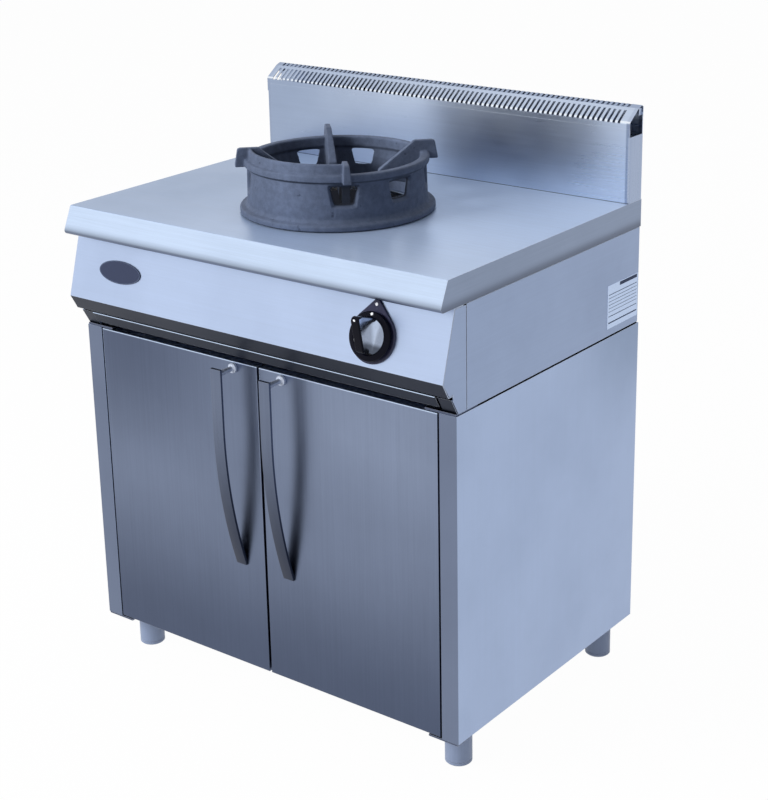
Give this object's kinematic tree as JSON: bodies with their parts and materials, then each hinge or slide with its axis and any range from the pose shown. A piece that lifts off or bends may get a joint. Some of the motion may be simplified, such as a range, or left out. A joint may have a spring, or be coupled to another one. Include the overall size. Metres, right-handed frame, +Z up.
{
  "type": "wok range",
  "caption": "Free-standing stainless steel gas wok range: cast wok ring on a flat top, control knob, spill tray, slotted flue upstand and a cupboard with bowed handles.",
  "frame": {"origin": "on the floor under the centre of the bounding box", "axes": "+Z up, +X to the right seen from the front, the doors and knob face -Y"},
  "size_m": [0.8, 0.6302, 1.0279],
  "materials": {
    "cabinet_steel": "stainless sheet, fine vertical grain",
    "hidden_steel": "plain stainless sheet",
    "door_steel": "stainless sheet, fine vertical grain",
    "handle_steel": "satin bar",
    "foot_steel": "matt satin tube",
    "worktop_steel": "brushed along the width",
    "fascia_steel": "brushed along the width",
    "module_steel": "brushed along the depth",
    "flue_steel": "brushed along the width",
    "wok_iron": "sandblasted casting, matt",
    "burner_iron": "matt casting",
    "gas_brass": "machined",
    "pipe_steel": "drawn tube",
    "knob_black": "glossy black",
    "knob_chrome": "bright",
    "badge_dark": "semi-gloss, bare",
    "magnet_block": "matt"
  },
  "bodies": {
    "range": {"cabinet_left_side": "cabinet_steel", "module_left_side": "module_steel", "left_cheek": "fascia_steel", "left_front_corner": "cabinet_steel", "cabinet_right_side": "cabinet_steel", "module_right_side": "module_steel", "right_cheek": "fascia_steel", "right_front_corner": "cabinet_steel", "cabinet_floor": "hidden_steel", "cabinet_back": "cabinet_steel", "cabinet_top_rail": "hidden_steel", "hinge_brackets": "hidden_steel", "magnetic_catches": "magnet_block", "foot_sockets": "foot_steel", "worktop": "worktop_steel", "control_panel": "fascia_steel", "module_back": "cabinet_steel", "module_base": "hidden_steel", "tray_runners": "hidden_steel", "flue_front": "flue_steel", "flue_grille": "flue_steel", "flue_back": "flue_steel", "burner_bowl": "hidden_steel", "burner_body": "burner_iron", "burner_crown": "burner_iron", "burner_cap": "gas_brass", "burner_strap": "hidden_steel", "pilot_burner": "gas_brass", "thermocouple": "gas_brass", "mixing_tube": "burner_iron", "air_shutter": "pipe_steel", "injector": "gas_brass", "gas_tap": "gas_brass", "burner_pipe": "pipe_steel", "gas_feed_pipe": "pipe_steel", "gas_inlet": "gas_brass", "knob_bezel": "knob_black", "badge_plate": "badge_dark", "back_screws": "pipe_steel"},
    "left_door": {"left_door_pan": "door_steel", "left_door_liner": "hidden_steel", "left_handle_bar": "handle_steel", "left_handle_post": "handle_steel", "left_door_pins": "pipe_steel"},
    "right_door": {"right_door_pan": "door_steel", "right_door_liner": "hidden_steel", "right_handle_bar": "handle_steel", "right_handle_post": "handle_steel", "right_door_pins": "pipe_steel"},
    "tray": {"spill_tray": "hidden_steel"},
    "ring": {"wok_ring": "wok_iron"},
    "knob_carrier": {"spindle_collar": "gas_brass"},
    "knob": {"control_knob": "knob_black", "knob_insert": "knob_chrome", "knob_spindle": "gas_brass"},
    "foot_front_left": {"levelling_foot_front_left": "foot_steel"},
    "foot_front_right": {"levelling_foot_front_right": "foot_steel"},
    "foot_rear_left": {"levelling_foot_rear_left": "foot_steel"},
    "foot_rear_right": {"levelling_foot_rear_right": "foot_steel"}
  },
  "joints": [
    {"name": "left_door_hinge", "type": "hinge", "parent": "range", "child": "left_door", "pos_m": [-0.355, -0.24271, 0.359], "axis": [0, 0, -1], "range_deg": [0, 110]},
    {"name": "right_door_hinge", "type": "hinge", "parent": "range", "child": "right_door", "pos_m": [0.355, -0.24271, 0.359], "axis": [0, 0, 1], "range_deg": [0, 110]},
    {"name": "tray_slide", "type": "slide", "parent": "range", "child": "tray", "axis": [0, -1, 0], "range_m": [0, 0.38]},
    {"name": "ring_lift", "type": "slide", "parent": "range", "child": "ring", "axis": [0, 0, 1], "range_m": [0, 0.12]},
    {"name": "knob_push", "type": "slide", "parent": "range", "child": "knob_carrier", "axis": [0, 0.9613, -0.2756], "range_m": [0, 0.004], "stiffness_N_per_m": 1500, "springref_m": -0.003},
    {"name": "knob_turn", "type": "hinge", "parent": "knob_carrier", "child": "knob", "pos_m": [0.261, -0.27081, 0.7523], "axis": [0, -0.9613, 0.2756], "range_deg": [0, 210]},
    {"name": "foot_front_left_height", "type": "slide", "parent": "range", "child": "foot_front_left", "axis": [0, 0, -1], "range_m": [0, 0.025]},
    {"name": "foot_front_right_height", "type": "slide", "parent": "range", "child": "foot_front_right", "axis": [0, 0, -1], "range_m": [0, 0.025]},
    {"name": "foot_rear_left_height", "type": "slide", "parent": "range", "child": "foot_rear_left", "axis": [0, 0, -1], "range_m": [0, 0.025]},
    {"name": "foot_rear_right_height", "type": "slide", "parent": "range", "child": "foot_rear_right", "axis": [0, 0, -1], "range_m": [0, 0.025]}
  ]
}
